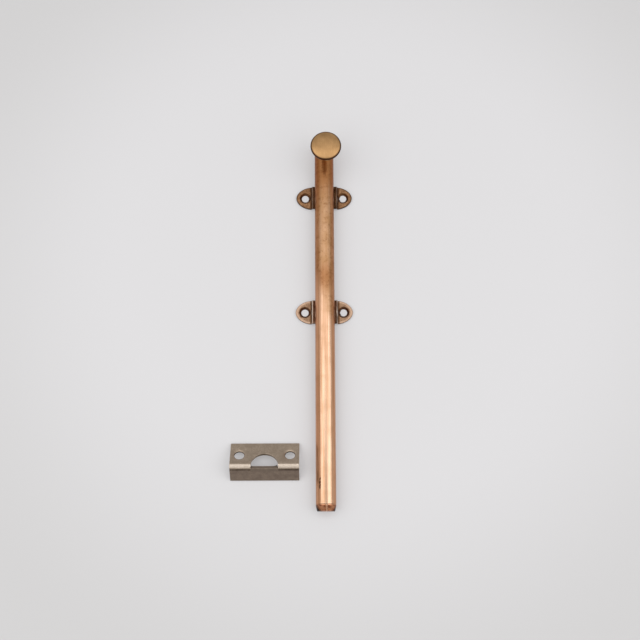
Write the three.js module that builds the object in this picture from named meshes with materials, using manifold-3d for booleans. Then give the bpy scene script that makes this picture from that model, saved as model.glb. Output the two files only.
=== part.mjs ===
// Surface bolt of the drop-bar kind. A hollow half-round bar with a knob slides on two guides that
// are screwed to a door, and its nose drops through the notch of a separate angled strike plate.
// Millimetres. The bolt lies on its back: z = 0 is the face that the guides are screwed to, +z points
// to the knob, the nose points to -y and the knob end to +y.

import * as THREE from 'three';
import { mergeVertices } from 'three/addons/utils/BufferGeometryUtils.js';
import Module from 'manifold-3d';

const wasm = await Module();
wasm.setup();

// Bar: sheet brass bent to a half-round section with a slot along its flat back.
const barWidth = 10.8;
const barDepth = 7.5;
const barLength = 210;
const barSheet = 0.9;
const barBend = 0.8;
const slotWidth = 5.2;
const crownRadius = barWidth / 2;
const crownCentre = barDepth - crownRadius;
const insideCorner = 0.3;

// Nose: a solid plug closes the end of the bar. Its tip narrows a little and slopes down.
const noseLength = 3.5;
const noseTaper = 0.6;
const noseDrop = 1.7;
const plugShank = 12;
const pinRadius = 0.8;
const pinFromNose = 9.5;
const pinRecess = 0.1;

// Head: a block fills the other end of the bar, and the knob is riveted through bar and block.
const blockLength = 15;
const knobFromNose = 200.3;
const knobOffset = 0.95;
const knobRadius = 8.65;
const knobHeight = 12.2;
const knobRim = 1.2;
const knobDome = 1.9;
const neckRadius = 3;
const neckLength = 4;
const neckFlare = 0.4;
const neckSweep = 1.6;
const rimEnd = Math.PI * 0.4;
const spigotRadius = 2;
const rivetedRadius = 2.8;

// Guides: a pressed bracket behind the bar, and a shoe inside the bar riveted to it.
const lowerGuideFromNose = 109.4;
const upperGuideFromNose = 177.55;
const lowerGuideOffset = -0.35;
const upperGuideOffset = -0.1;
const bracketSheet = 1.2;
const bracketWidth = 13.3;
const bracketRise = 1.2;
const bendInner = 6.4;
const bendOuter = 7.5;
const bendSteps = 8;
const earReach = 15.9;
const earCentre = 7;
const earRoundness = 1.87;
const screwSpacing = 21.5;
const screwHoleRadius = 1.95;
const screwSinkRadius = 3.15;
const shoeLength = 12;
const shoeNeckHalf = 2.1;
const shoeHalf = 3.85;
const shoeSheet = 1.2;
const rivetSpacing = 7;
const rivetRadius = 1;
const rivetHeadRadius = 1.7;
const rivetHeadHeight = 0.6;
const rivetTailHeight = 0.8;
const springSheet = 0.4;
const springWidth = 3.6;
const springArm = 12;
const springCurl = 0.8;
const springEase = 3;
const springBow = 4;
const springRound = 2;

// Strike: a bent plate with a half-round notch at the bend. It leans on its two long edges.
const strikeWidth = 36.8;
const strikeSheet = 1.3;
const strikeFlange = 16.4;
const strikeLip = 11.2;
const strikeBend = 3;
const notchRadius = 7.2;
const notchDepth = 9.05;
const notchFall = 1.6;
const strikeHoleSpacing = 27;
const strikeHoleFromBend = 8.5;
const strikeHoleRadius = 2.65;
const strikeSinkRadius = 3.75;
const strikeSinkDepth = 0.6;
const strikeFromBar = 32.5;
const strikeFromNose = 22.7;

// Clearances: running fit between bar and guides, and the seam between fixed pieces.
const runningGap = 0.3;
const seam = 0.05;

// Levels above the mounting face.
const platformTop = bracketSheet + bracketRise;
const barBack = platformTop + runningGap;
const shoeFlangeBottom = barBack + barSheet + runningGap;
const shoeTop = shoeFlangeBottom + shoeSheet;
const springBase = shoeTop + seam;

// The origin is under the middle of the whole set, on the mounting face.
const noseY = -barLength / 2;
const barX = (strikeFromBar + strikeWidth / 2 - earReach - upperGuideOffset) / 2;

const arcSteps = 10;
const turnedSides = 48;
const smallSides = 24;

const brass = { roughness: 0.32, metalness: 1 };
const materials = {
  bar: new THREE.MeshStandardMaterial({ color: 0xc08a5a, ...brass }),
  knob: new THREE.MeshStandardMaterial({ color: 0xb0885a, ...brass }),
  bracket: new THREE.MeshStandardMaterial({ color: 0x7a5238, roughness: 0.42, metalness: 1 }),
  shoe: new THREE.MeshStandardMaterial({ color: 0x9c7248, roughness: 0.4, metalness: 1 }),
  spring: new THREE.MeshStandardMaterial({ color: 0xb0763c, roughness: 0.3, metalness: 1 }),
  steel: new THREE.MeshStandardMaterial({ color: 0x8a8178, roughness: 0.45, metalness: 1 }),
};

// ---- solids: bare geometry goes to manifold for cutting and joining, and comes back ----

function toSolid(geometry) {
  const bare = geometry.clone();
  bare.deleteAttribute('normal');
  bare.deleteAttribute('uv');
  const merged = mergeVertices(bare, 1e-5);
  const corners = merged.index.array;
  const triVerts = [];
  for (let i = 0; i < corners.length; i += 3) {
    const [a, b, c] = [corners[i], corners[i + 1], corners[i + 2]];
    if (a !== b && b !== c && c !== a) triVerts.push(a, b, c);
  }
  const vertProperties = Float32Array.from(merged.attributes.position.array);
  return new wasm.Manifold(
    new wasm.Mesh({ numProp: 3, vertProperties, triVerts: Uint32Array.from(triVerts) }),
  );
}

function toGeometry(solid) {
  const { vertProperties, triVerts } = solid.getMesh();
  const geometry = new THREE.BufferGeometry();
  geometry.setAttribute('position', new THREE.BufferAttribute(vertProperties, 3));
  geometry.setIndex(new THREE.BufferAttribute(triVerts, 1));
  geometry.computeVertexNormals();
  return geometry;
}

function cut(body, ...tools) {
  return toGeometry(tools.reduce((solid, tool) => solid.subtract(toSolid(tool)), toSolid(body)));
}

function join(first, ...others) {
  return toGeometry(others.reduce((solid, other) => solid.add(toSolid(other)), toSolid(first)));
}

function overlapOf(first, second) {
  return toGeometry(toSolid(first).intersect(toSolid(second)));
}

// ---- helpers that turn an outline into a solid along one axis ----

function extrude(shape, depth) {
  return new THREE.ExtrudeGeometry(shape, { depth, bevelEnabled: false, curveSegments: arcSteps });
}

// Outline in x and z, running from y = start to y = end.
function alongY(shape, start, end) {
  return extrude(shape, end - start).rotateX(Math.PI / 2).translate(0, end, 0);
}

// Outline in y and z, running across x and centred on it.
function alongX(shape, width) {
  return extrude(shape, width).rotateX(Math.PI / 2).rotateZ(Math.PI / 2).translate(-width / 2, 0, 0);
}

// Outline in x and y, running from z = bottom to z = top.
function alongZ(shape, bottom, top) {
  return extrude(shape, top - bottom).translate(0, 0, bottom);
}

function block(width, length, bottom, top) {
  return new THREE.BoxGeometry(width, length, top - bottom).translate(0, 0, (top + bottom) / 2);
}

// Round bar or cone standing on z, with its radius at the bottom and at the top.
function cone(bottomRadius, topRadius, bottom, top, sides = smallSides) {
  return new THREE.CylinderGeometry(topRadius, bottomRadius, top - bottom, sides)
    .rotateX(Math.PI / 2)
    .translate(0, 0, (top + bottom) / 2);
}

// Profile in radius and height, turned round z.
function turned(points, sides) {
  return new THREE.LatheGeometry(points, sides).rotateX(Math.PI / 2);
}

// ---- moving bolt; z = 0 is the back of the bar and y = 0 the tip of the nose ----

// The bar's section, drawn in by inset on every side.
function halfRound(inset, corner) {
  const half = crownRadius - inset;
  const shape = new THREE.Shape();
  shape.moveTo(-half + corner, inset);
  shape.lineTo(half - corner, inset);
  shape.absarc(half - corner, inset + corner, corner, -Math.PI / 2, 0);
  shape.absarc(0, crownCentre, half, 0, Math.PI);
  shape.absarc(-half + corner, inset + corner, corner, Math.PI, 1.5 * Math.PI);
  return shape;
}

// A tool or pin lying across the bar at the height of the crown's centre.
function crossPin(radius, length) {
  return new THREE.CylinderGeometry(radius, radius, length, smallSides)
    .rotateZ(Math.PI / 2)
    .translate(0, pinFromNose, crownCentre);
}

function barShell() {
  const start = noseLength + seam;
  const outside = alongY(halfRound(0, barBend), start, barLength);
  const inside = alongY(halfRound(barSheet, insideCorner), -1, barLength + 1);
  const slot = block(slotWidth, 2 * barLength + 2, -1, 2 * barSheet);
  const knobHole = cone(spigotRadius + seam, spigotRadius + seam, crownCentre, barDepth + 1)
    .translate(knobOffset, knobFromNose, 0);
  return cut(outside, inside, slot, knobHole, crossPin(pinRadius + seam, barWidth + 1));
}

function nosePlug() {
  const tip = alongY(halfRound(0, barBend), 0, noseLength);
  const position = tip.attributes.position;
  for (let i = 0; i < position.count; i += 1) {
    if (position.getY(i) > noseLength / 2) continue;
    position.setX(i, position.getX(i) * (1 - noseTaper / crownRadius));
    position.setZ(i, position.getZ(i) * (1 - noseDrop / barDepth));
  }
  const shank = alongY(halfRound(barSheet + seam, insideCorner), noseLength / 2, noseLength + plugShank);
  return cut(join(tip, shank), crossPin(pinRadius + seam, barWidth + 1));
}

function nosePin() {
  return crossPin(pinRadius, barWidth - 2 * pinRecess);
}

// Cone under the block where the knob's spigot is hammered out.
function rivetedEnd(clearance) {
  const bottom = barSheet + seam;
  const top = bottom + rivetedRadius - spigotRadius;
  return cone(rivetedRadius + clearance, spigotRadius + clearance, bottom, top);
}

function headBlock() {
  const bodyShape = halfRound(barSheet + seam, insideCorner);
  const body = alongY(bodyShape, barLength - blockLength, barLength);
  const spigotHole = cone(spigotRadius + seam, spigotRadius + seam, 0, barDepth);
  const sink = rivetedEnd(seam);
  const tools = [spigotHole, sink].map((tool) => tool.translate(knobOffset, knobFromNose, 0));
  return cut(body, ...tools);
}

// The knob's own z = 0 is the back of the bar. Its neck is saddled to the bar's crown.
function knobBody() {
  const widest = barDepth + knobHeight;
  const profile = new THREE.Path();
  profile.moveTo(0, crownCentre);
  profile.lineTo(neckRadius, crownCentre);
  profile.lineTo(neckRadius, barDepth + neckLength);
  profile.quadraticCurveTo(
    neckRadius + neckFlare, widest - knobRim - neckSweep,
    knobRadius - knobRim, widest - knobRim,
  );
  profile.absarc(knobRadius - knobRim, widest, knobRim, -Math.PI / 2, rimEnd);
  profile.quadraticCurveTo(knobRadius * 0.5, widest + knobDome, 0, widest + knobDome);
  const neckAndHead = turned(profile.getPoints(arcSteps / 2), turnedSides);
  const saddle = new THREE.CylinderGeometry(
    crownRadius + seam, crownRadius + seam, 4 * neckRadius, turnedSides * 2,
  ).translate(-knobOffset, 0, crownCentre);
  const spigot = cone(spigotRadius, spigotRadius, barSheet + seam, barDepth + 1);
  return join(cut(neckAndHead, saddle), spigot, rivetedEnd(0));
}

// ---- guide; z = 0 is the mounting face and y = 0 the middle of the bracket ----

// The sheet is flat at the ears and pressed up by bracketRise behind the bar.
function pressedHeight(x) {
  return bracketRise * THREE.MathUtils.smoothstep(bendOuter - Math.abs(x), 0, bendOuter - bendInner);
}

function bracketStrip() {
  const right = [];
  for (let i = 0; i <= bendSteps; i += 1) {
    right.push(bendInner + ((bendOuter - bendInner) * i) / bendSteps);
  }
  right.push(earReach + 1);
  const across = [...right.map((x) => -x).reverse(), ...right];
  const bottom = across.map((x) => new THREE.Vector2(x, pressedHeight(x)));
  const top = across.map((x) => new THREE.Vector2(x, pressedHeight(x) + bracketSheet));
  return alongY(new THREE.Shape([...bottom, ...top.reverse()]), -bracketWidth, bracketWidth);
}

// Each ear narrows to a round tip a little faster than an ellipse does.
function bracketOutline() {
  const half = bracketWidth / 2;
  const points = [];
  for (const side of [1, -1]) {
    for (let i = 0; i <= 2 * arcSteps; i += 1) {
      const angle = (Math.PI * i) / (2 * arcSteps) - Math.PI / 2;
      const out = Math.abs(Math.cos(angle)) ** (2 / earRoundness);
      const up = Math.sign(Math.sin(angle)) * Math.abs(Math.sin(angle)) ** (2 / earRoundness);
      points.push(new THREE.Vector2(
        side * (earCentre + out * (earReach - earCentre)),
        side * up * half,
      ));
    }
  }
  return new THREE.Shape(points);
}

function guideBracket() {
  const body = overlapOf(bracketStrip(), alongZ(bracketOutline(), -1, platformTop + 1));
  const tools = [];
  for (const side of [-1, 1]) {
    const hole = cone(screwHoleRadius, screwHoleRadius, -1, platformTop);
    const sink = cone(screwHoleRadius, screwSinkRadius, 0, bracketSheet + seam);
    tools.push(hole.translate((side * screwSpacing) / 2, 0, 0));
    tools.push(sink.translate((side * screwSpacing) / 2, 0, 0));
    const rivetHole = cone(rivetRadius + seam, rivetRadius + seam, 0, platformTop + 1);
    tools.push(rivetHole.translate(0, (side * rivetSpacing) / 2, 0));
  }
  return cut(body, ...tools);
}

function guideShoe() {
  const neck = block(2 * shoeNeckHalf, shoeLength, platformTop + seam, shoeTop - seam);
  const flange = block(2 * shoeHalf, shoeLength, shoeFlangeBottom, shoeTop);
  const holes = [-1, 1].map((side) => cone(rivetRadius + seam, rivetRadius + seam, 0, shoeTop + 1)
    .translate(0, (side * rivetSpacing) / 2, 0));
  return cut(join(neck, flange), ...holes);
}

// Leaf spring: flat on the shoe, then an arm that rises to the inside of the bar's crown.
function guideSpring() {
  const flat = shoeLength / 2;
  const edge = springWidth / 2 + Math.abs(lowerGuideOffset);
  const insideRadius = crownRadius - barSheet;
  const crownAtEdge = barBack + crownCentre + Math.sqrt(insideRadius ** 2 - edge ** 2);
  const tip = crownAtEdge - 2 * seam - springSheet;
  const reach = flat + springArm;
  const bow = reach - springArm / 4;
  const shape = new THREE.Shape();
  shape.moveTo(-flat, springBase);
  shape.lineTo(flat, springBase);
  shape.bezierCurveTo(flat + springEase, springBase, bow - springBow, tip, bow, tip);
  shape.quadraticCurveTo(bow + springRound, tip, reach, tip - springCurl);
  shape.lineTo(reach, tip - springCurl + springSheet);
  shape.quadraticCurveTo(bow + springRound, tip + springSheet, bow, tip + springSheet);
  shape.bezierCurveTo(
    bow - springBow, tip + springSheet,
    flat + springEase, springBase + springSheet,
    flat, springBase + springSheet,
  );
  shape.lineTo(-flat, springBase + springSheet);
  const holes = [-1, 1].map((side) => cone(rivetRadius + seam, rivetRadius + seam, 0, barDepth)
    .translate(0, (side * rivetSpacing) / 2, 0));
  return cut(alongX(shape, springWidth), ...holes);
}

// Rivet: flat tail behind the bracket, shank through bracket, shoe and spring, round head inside.
function guideRivet() {
  const tailTop = bracketRise - seam;
  const headBottom = springBase + springSheet + seam;
  const profile = new THREE.Path();
  profile.moveTo(0, tailTop - rivetTailHeight);
  profile.lineTo(rivetHeadRadius, tailTop - rivetTailHeight);
  profile.lineTo(rivetHeadRadius, tailTop);
  profile.lineTo(rivetRadius, tailTop);
  profile.lineTo(rivetRadius, headBottom);
  profile.lineTo(rivetHeadRadius, headBottom);
  profile.quadraticCurveTo(rivetHeadRadius, headBottom + rivetHeadHeight, 0, headBottom + rivetHeadHeight);
  return turned(profile.getPoints(arcSteps / 2), smallSides);
}

// ---- strike; the sharp outer corner of the bend is the x axis, the flange runs to +y ----

function strikePlate() {
  const section = new THREE.Shape();
  section.moveTo(strikeFlange, 0);
  section.lineTo(strikeBend, 0);
  section.absarc(strikeBend, -strikeBend, strikeBend, Math.PI / 2, Math.PI);
  section.lineTo(0, -strikeLip);
  section.lineTo(strikeSheet, -strikeLip);
  section.lineTo(strikeSheet, -strikeBend);
  section.absarc(strikeBend, -strikeBend, strikeBend - strikeSheet, Math.PI, Math.PI / 2, true);
  section.lineTo(strikeFlange, -strikeSheet);

  const notchSpring = notchDepth - notchRadius;
  const notch = new THREE.Shape();
  notch.moveTo(notchRadius, -1);
  notch.lineTo(notchRadius, notchSpring);
  notch.absarc(0, notchSpring, notchRadius, 0, Math.PI);
  notch.lineTo(-notchRadius, -1);

  const tools = [alongZ(notch, -notchFall, 1)];
  for (const side of [-1, 1]) {
    const hole = cone(strikeHoleRadius, strikeHoleRadius, -strikeSheet - 1, 1, turnedSides);
    const sink = cone(strikeHoleRadius, strikeSinkRadius, -strikeSinkDepth, seam, turnedSides);
    for (const tool of [hole, sink]) {
      tools.push(tool.translate((side * strikeHoleSpacing) / 2, strikeHoleFromBend, 0));
    }
  }
  return cut(alongX(section, strikeWidth), ...tools);
}

// ---- assembly ----

function part(name, geometry, material) {
  const mesh = new THREE.Mesh(geometry, material);
  mesh.name = name;
  return mesh;
}

function makeBolt() {
  const bolt = new THREE.Group();
  bolt.position.set(barX, noseY, barBack);
  bolt.add(part('bar_shell', barShell(), materials.bar));
  bolt.add(part('nose_plug', nosePlug(), materials.bar));
  bolt.add(part('nose_pin', nosePin(), materials.shoe));
  bolt.add(part('head_block', headBlock(), materials.shoe));
  const knob = part('knob', knobBody(), materials.knob);
  knob.position.set(knobOffset, knobFromNose, 0);
  bolt.add(knob);
  return bolt;
}

// springTurn faces each guide's spring arm towards the other guide.
function makeGuide(prefix, fromNose, offset, springTurn) {
  const guide = new THREE.Group();
  guide.position.set(barX + offset, noseY + fromNose, 0);
  guide.add(part(`${prefix}_guide_bracket`, guideBracket(), materials.bracket));
  guide.add(part(`${prefix}_guide_shoe`, guideShoe(), materials.shoe));
  const spring = part(`${prefix}_guide_spring`, guideSpring(), materials.spring);
  spring.rotation.z = springTurn;
  guide.add(spring);
  for (const [end, side] of [['front', -1], ['rear', 1]]) {
    const rivet = part(`${prefix}_guide_${end}_rivet`, guideRivet(), materials.shoe);
    rivet.position.y = (side * rivetSpacing) / 2;
    guide.add(rivet);
  }
  return guide;
}

function makeStrike() {
  const lean = Math.atan2(strikeLip - strikeSheet, strikeFlange - strikeSheet);
  const ridge = strikeFlange * Math.sin(lean) + strikeSheet * Math.cos(lean);
  const strike = part('strike_plate', strikePlate(), materials.steel);
  strike.rotation.x = -lean;
  strike.position.set(barX - strikeFromBar, noseY + strikeFromNose, ridge);
  return strike;
}

const surfaceBolt = new THREE.Group();
surfaceBolt.add(makeBolt());
surfaceBolt.add(makeGuide('lower', lowerGuideFromNose, lowerGuideOffset, 0));
surfaceBolt.add(makeGuide('upper', upperGuideFromNose, upperGuideOffset, Math.PI));
surfaceBolt.add(makeStrike());

export default surfaceBolt;
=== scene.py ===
import bpy
import bmesh
import math
from mathutils import Matrix, Vector, noise


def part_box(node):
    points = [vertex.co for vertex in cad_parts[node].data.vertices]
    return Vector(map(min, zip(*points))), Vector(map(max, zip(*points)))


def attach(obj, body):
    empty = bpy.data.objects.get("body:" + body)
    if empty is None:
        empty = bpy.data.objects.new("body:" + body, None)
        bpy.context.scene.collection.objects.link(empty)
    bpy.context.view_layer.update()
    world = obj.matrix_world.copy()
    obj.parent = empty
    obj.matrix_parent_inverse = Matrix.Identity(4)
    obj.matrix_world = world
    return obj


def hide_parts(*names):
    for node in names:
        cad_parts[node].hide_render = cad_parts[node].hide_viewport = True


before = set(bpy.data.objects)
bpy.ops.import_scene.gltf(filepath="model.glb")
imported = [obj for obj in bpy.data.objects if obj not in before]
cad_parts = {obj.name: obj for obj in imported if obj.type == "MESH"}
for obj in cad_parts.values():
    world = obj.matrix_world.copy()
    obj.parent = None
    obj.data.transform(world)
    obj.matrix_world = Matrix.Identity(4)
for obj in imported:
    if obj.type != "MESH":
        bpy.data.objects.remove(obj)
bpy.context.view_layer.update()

mm = 0.001
fixedBody = "guides_and_strike"
movingBody = "sliding_bolt"
tau = 2 * math.pi


def linear(hexColour):
    # sRGB hex to the linear colour that sockets take
    channels = [int(hexColour[i:i + 2], 16) / 255 for i in (1, 3, 5)]
    return tuple(c / 12.92 if c <= 0.04045 else ((c + 0.055) / 1.055) ** 2.4 for c in channels) + (1.0,)


def addNode(tree, kind, settings=None, inputs=None, stops=None):
    made = tree.nodes.new(kind)
    for key, value in (settings or {}).items():
        setattr(made, key, value)
    for key, value in (inputs or {}).items():
        if isinstance(value, bpy.types.NodeSocket):
            tree.links.new(value, made.inputs[key])
        else:
            made.inputs[key].default_value = value
    if stops:
        ramp = made.color_ramp
        while len(ramp.elements) < len(stops):
            ramp.elements.new(0.5)
        for element, (place, colour) in zip(ramp.elements, stops):
            element.position = place
            element.color = colour
    return made


def smoothStep(t):
    t = min(max(t, 0.0), 1.0)
    return t * t * (3 - 2 * t)


def nodeBox(name):
    # middle, size and lowest corner of a CAD node
    low, high = (Vector(corner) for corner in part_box(name))
    return (low + high) / 2, high - low, low


def meshPiece(name, verts, faces, smooth=True):
    mesh = bpy.data.meshes.new(name)
    mesh.from_pydata([tuple(v) for v in verts], [], faces)
    mesh.validate()
    mesh.update()
    piece = bpy.data.objects.new(name, mesh)
    bpy.context.scene.collection.objects.link(piece)
    mesh.polygons.foreach_set("use_smooth", [smooth] * len(mesh.polygons))
    return piece


def roundEdges(piece, width, angle=32, segments=3):
    bevel = piece.modifiers.new("edges", "BEVEL")
    bevel.width = width
    bevel.segments = segments
    bevel.limit_method = "ANGLE"
    bevel.angle_limit = math.radians(angle)
    bevel.use_clamp_overlap = False
    bevel.harden_normals = True
    return bevel


def loft(name, rings):
    # closed skin over rings that all have the same number of points
    count = len(rings[0])
    verts = [point for ring in rings for point in ring]
    faces = []
    for r in range(len(rings) - 1):
        for i in range(count):
            j = (i + 1) % count
            faces.append((r * count + i, r * count + j, (r + 1) * count + j, (r + 1) * count + i))
    faces.append(tuple(reversed(range(count))))
    faces.append(tuple(range((len(rings) - 1) * count, len(rings) * count)))
    piece = meshPiece(name, verts, faces)
    facesOutward(piece)
    return piece


def revolve(name, profile, centre, sides, lift=None):
    # profile is radius and height; the first and last points lie on the axis
    verts, faces = [], []
    for radius, height in profile[1:-1]:
        for i in range(sides):
            a = tau * i / sides
            verts.append(centre + Vector((radius * math.cos(a), radius * math.sin(a), height)))
    rings = len(profile) - 2
    for r in range(rings - 1):
        for i in range(sides):
            j = (i + 1) % sides
            faces.append((r * sides + i, r * sides + j, (r + 1) * sides + j, (r + 1) * sides + i))
    for ring, (radius, height) in ((0, profile[0]), (rings - 1, profile[-1])):
        pole = len(verts)
        verts.append(centre + Vector((0, 0, height)))
        for i in range(sides):
            j = (i + 1) % sides
            edge = (ring * sides + i, ring * sides + j)
            faces.append((pole, edge[1], edge[0]) if ring == 0 else (pole, edge[0], edge[1]))
    if lift:
        verts = [lift(v) for v in verts]
    piece = meshPiece(name, verts, faces)
    facesOutward(piece)
    return piece


def facesOutward(piece):
    bm = bmesh.new()
    bm.from_mesh(piece.data)
    bmesh.ops.remove_doubles(bm, verts=bm.verts, dist=1e-7)
    bmesh.ops.recalc_face_normals(bm, faces=bm.faces)
    bm.to_mesh(piece.data)
    bm.free()


def arc(centre, radius, start, end, steps):
    # points on a circle, angles in degrees; radius may be a pair for an ellipse
    rx, ry = radius if isinstance(radius, tuple) else (radius, radius)
    angles = [math.radians(start + (end - start) * i / steps) for i in range(steps + 1)]
    return [(centre[0] + rx * math.cos(a), centre[1] + ry * math.sin(a)) for a in angles]


def pressedSheet(name, outline, holes, cuts, thickness, place):
    # a blank cut from flat sheet, punched, then pressed to shape by place(x, y, depth)
    bm = bmesh.new()
    edges = []
    for loop in [outline] + [hole["loop"] for hole in holes]:
        corners = [bm.verts.new((x, y, 0)) for x, y in loop]
        edges += [bm.edges.new((a, b)) for a, b in zip(corners, corners[1:] + corners[:1])]
    bmesh.ops.triangle_fill(bm, edges=edges, use_beauty=True, normal=(0, 0, 1))
    for axis, at in cuts:
        side = Vector((1, 0, 0)) if axis == "x" else Vector((0, 1, 0))
        everything = bm.verts[:] + bm.edges[:] + bm.faces[:]
        bmesh.ops.bisect_plane(bm, geom=everything, dist=1e-7, plane_co=side * at, plane_no=side)
    bm.verts.ensure_lookup_table()
    bm.verts.index_update()
    flat = [(v.co.x, v.co.y) for v in bm.verts]
    count = len(flat)
    upper = [[v.index for v in face.verts] if face.normal.z > 0 else [v.index for v in reversed(face.verts)]
             for face in bm.faces]
    rim = [(edge.verts[0].index, edge.verts[1].index) for edge in bm.edges if len(edge.link_faces) == 1]
    bm.free()

    def footOf(x, y):
        # a point on the mouth of a countersink, and where the foot of the cone puts it
        for hole in holes:
            middle = hole.get("middle")
            if middle and abs(math.hypot(x - middle[0], y - middle[1]) / hole["top"] - 1) < 0.02:
                shrink = hole["bottom"] / hole["top"]
                foot = (middle[0] + (x - middle[0]) * shrink, middle[1] + (y - middle[1]) * shrink)
                return foot, hole["depth"]
        return None

    sunk = [footOf(x, y) for x, y in flat]
    spots = flat + [foot[0] if foot else spot for spot, foot in zip(flat, sunk)]
    depths = [0] * count + [thickness] * count
    feet = {}
    for i, foot in enumerate(sunk):
        if foot and foot[1] < thickness:
            feet[i] = len(spots)
            spots.append(foot[0])
            depths.append(foot[1])
    verts = [place(x, y, depth) for (x, y), depth in zip(spots, depths)]
    faces = [tuple(f) for f in upper] + [tuple(count + i for i in reversed(f)) for f in upper]
    for a, b in rim:
        if a in feet:
            faces += [(a, b, feet[b], feet[a]), (feet[a], feet[b], b + count, a + count)]
        else:
            faces.append((a, b, b + count, a + count))
    piece = meshPiece(name, verts, faces)
    # the flat blank, in millimetres, is kept as the UV map so that marks can follow the bends
    layer = piece.data.uv_layers.new(name="blank")
    for loop in piece.data.loops:
        x, y = spots[loop.vertex_index]
        layer.data[loop.index].uv = (x / mm, y / mm)
    facesOutward(piece)
    return piece


def finish(piece, material, body, slot, *nodes):
    piece.data.materials.clear()
    piece.data.materials.append(material)
    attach(piece, body)
    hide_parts(*nodes)


def newMaterial(name):
    material = bpy.data.materials.new(name)
    material.use_nodes = True
    tree = material.node_tree
    tree.nodes.clear()
    shader = addNode(tree, "ShaderNodeBsdfPrincipled", inputs={"Metallic": 1.0})
    output = addNode(tree, "ShaderNodeOutputMaterial")
    tree.links.new(shader.outputs["BSDF"], output.inputs["Surface"])
    coords = addNode(tree, "ShaderNodeTexCoord").outputs["Object"]
    return material, tree, shader, coords


barFinish = {
    "bright": "#DCB79B",
    "tan": "#B58866",
    "brown": "#AC825A",       # patina that the hand leaves on the upper half
    "deep": "#A26F45",        # painted shade below the knob, standing in for the knob's dark reflection in the bar
    "side": "#F4DCC8",        # the sides are painted darker and warmer than the rubbed crown: thicker patina, and painted shade where they face the shaded floor
    "mark": "#4A2A18",        # knocks beside the nose
    "nose": "#6E3A26",        # red-brown, with a warmer mottle, black corners and one painted highlight line
    "noseWarm": "#C08460",
    "noseDark": "#1C0E0A",
    "noseHighlight": "#DDAE8C",
    "roughness": 0.29,        # drawn brass, smooth enough to mirror the lights as soft bands
    "streakWidth": 0.5,       # mm; real draw lines are finer, this is as coarse as they need to show
    "streakLength": 60.0,
    "cloudSize": 9.0,         # mm
    "patinaFrom": 104 * mm,   # distances from the tip of the nose
    "patinaTo": 124 * mm,
    "patinaSlant": 2.6,       # it reaches further down the right side
    "stain": "#E2D0C0",       # a browner patch on the crown, between the guides
    "stainAt": 128 * mm,
    "stainReach": 15 * mm,
    "stainFade": 4 * mm,
    "stainCore": 6 * mm,
    "stainRagged": 12 * mm,
    "knobShadeFrom": 168 * mm,
    "knobShadeTo": 190 * mm,
    "crownShift": 0.3 * mm,   # the pale crown lies a little to the right of the middle
    "sideFrom": 0.42,         # shares of the half width between which crown turns into side
    "sideTo": 0.78,
    "knockPlace": (-3.3 * mm, 14.5 * mm),    # from the bar's middle and from the nose's tip
    "knockSize": (2.0 * mm, 11 * mm, 7 * mm),
    "knockGrain": 0.45,
    "noseEnd": 3.4 * mm,
    "noseRagged": 0.9 * mm,
    "highlightLineAt": 0.35 * mm,
    "highlightLineHalf": 0.12 * mm,
    "highlightLineSoft": 0.36 * mm,
}


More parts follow.
